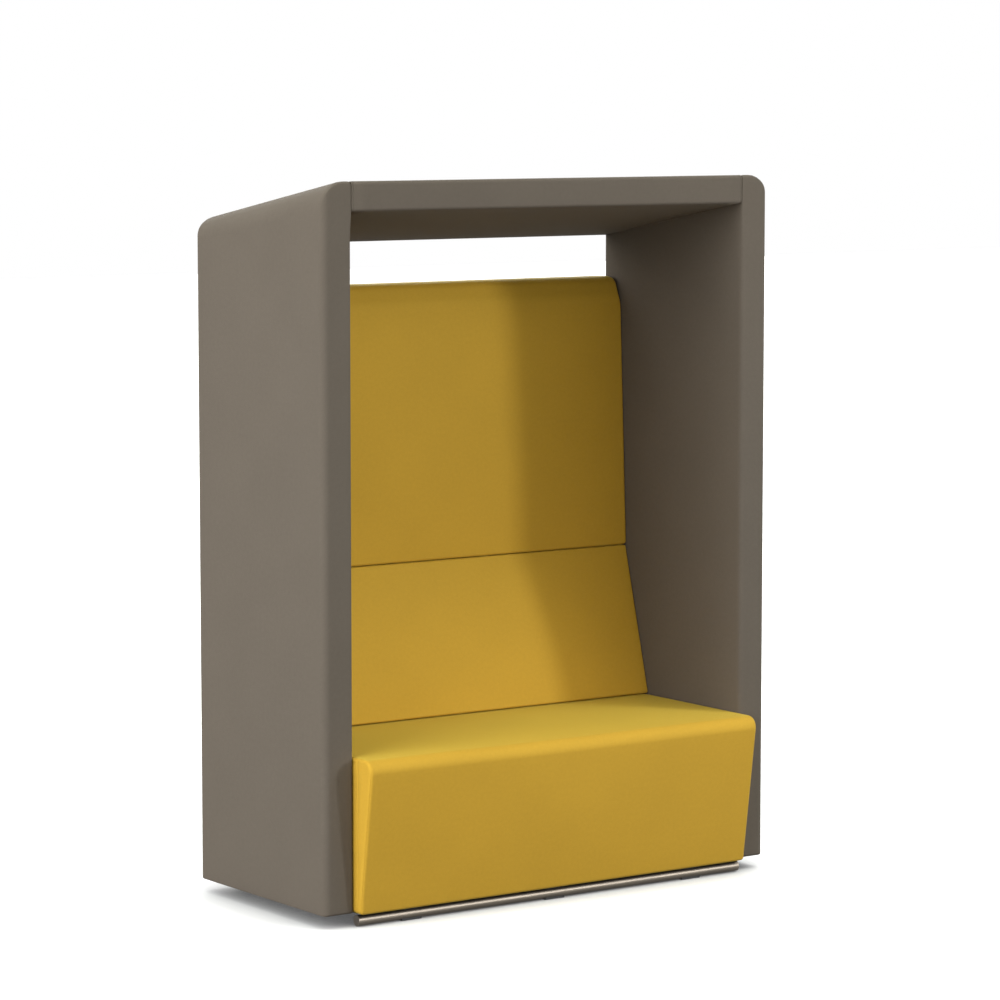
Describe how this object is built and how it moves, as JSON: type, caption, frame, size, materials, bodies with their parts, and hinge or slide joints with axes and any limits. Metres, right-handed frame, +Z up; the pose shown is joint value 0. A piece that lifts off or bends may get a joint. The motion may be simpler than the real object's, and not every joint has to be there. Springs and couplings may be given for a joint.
{
  "type": "acoustic high back lounge chair",
  "caption": "Two-seat high back lounge booth with upholstered side walls, a sloping roof panel, a two-part back and a seat on tube rails.",
  "frame": {"origin": "on the floor under the middle of the overall box", "axes": "+Z up, -Y toward the open front of the seat, +X to the sitter's left when seated facing -Y"},
  "size_m": [1.412, 0.6875, 1.8785],
  "materials": {
    "taupe_fabric": "fine woven wool",
    "mustard_fabric": "fine woven wool",
    "foam": "open-cell foam",
    "felt": "pressed felt",
    "timber": "plain plywood",
    "black_cloth": "non-woven cloth",
    "satin_steel": "satin",
    "zinc": "zinc plated",
    "black_plastic": "matte"
  },
  "bodies": {
    "root": {"left_wall_cover": "taupe_fabric", "right_wall_cover": "taupe_fabric", "roof_cover": "taupe_fabric", "rear_panel_cover": "taupe_fabric", "seat_cover": "mustard_fabric", "lower_back_cover": "mustard_fabric", "upper_back_cover": "mustard_fabric", "left_wall_foam": "foam", "right_wall_foam": "foam", "roof_foam": "foam", "seat_foam": "foam", "lower_back_foam": "foam", "upper_back_foam": "foam", "left_wall_absorber": "felt", "right_wall_absorber": "felt", "roof_absorber": "felt", "left_wall_frame": "timber", "left_wall_base": "timber", "right_wall_frame": "timber", "right_wall_base": "timber", "roof_frame": "timber", "seat_frame": "timber", "lower_back_board": "timber", "upper_back_board": "timber", "back_ribs": "timber", "back_rails": "timber", "rear_panel_board": "timber", "seat_webbing": "black_cloth", "dust_cloth": "black_cloth", "front_rail": "satin_steel", "rear_rail": "satin_steel", "rail_caps": "satin_steel", "rail_saddles": "satin_steel", "saddle_screws": "zinc", "joining_studs": "zinc", "joining_nuts": "zinc", "seat_bolts": "zinc", "board_screws": "zinc", "rail_glides": "black_plastic"}
  },
  "joints": []
}
